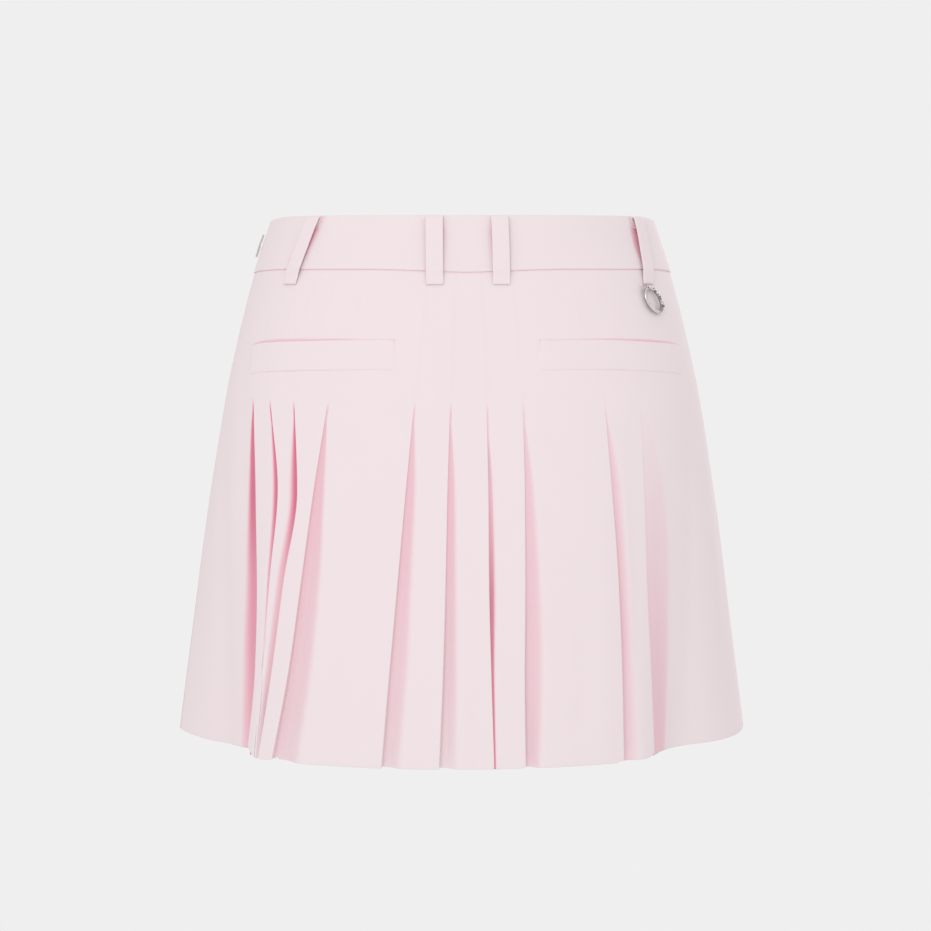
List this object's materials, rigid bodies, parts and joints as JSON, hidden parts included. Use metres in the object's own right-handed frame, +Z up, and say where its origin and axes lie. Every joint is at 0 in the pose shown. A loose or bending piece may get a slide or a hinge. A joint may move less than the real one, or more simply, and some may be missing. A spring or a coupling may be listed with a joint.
{
  "type": "golf skort",
  "caption": "Pale pink pleated golf skort in worn form: waistband with belt loops, back welt pockets, pleats released below the hip, inner shorts.",
  "frame": {"origin": "centre of the waist opening, level with the waistband's top edge at centre back", "axes": "+Z up along the wearer, +X to the wearer's left, +Y to the back, -Y to the front"},
  "size_m": [0.4056, 0.2921, 0.3673],
  "materials": {
    "shell": "smooth matte fine twill, very pale pink",
    "shorts_knit": "fine matte jersey knit, pale pink",
    "button": "satin moulded button dyed to match",
    "ornament_metal": "polished silver-coloured metal set with small clear stones"
  },
  "bodies": {
    "root": {"waistband": "shell", "skirt_back": "shell", "skirt_front_left": "shell", "skirt_front_right": "shell", "fly_placket": "shell", "belt_loop_back_left": "shell", "belt_loop_back_right": "shell", "belt_loop_side_left": "shell", "belt_loop_side_right": "shell", "belt_loop_front_left": "shell", "belt_loop_front_right": "shell", "pocket_welt_left": "shell", "pocket_welt_right": "shell", "shorts_left": "shorts_knit", "shorts_right": "shorts_knit", "button": "button", "ornament_back": "ornament_metal", "ornament_side": "ornament_metal"}
  },
  "joints": []
}
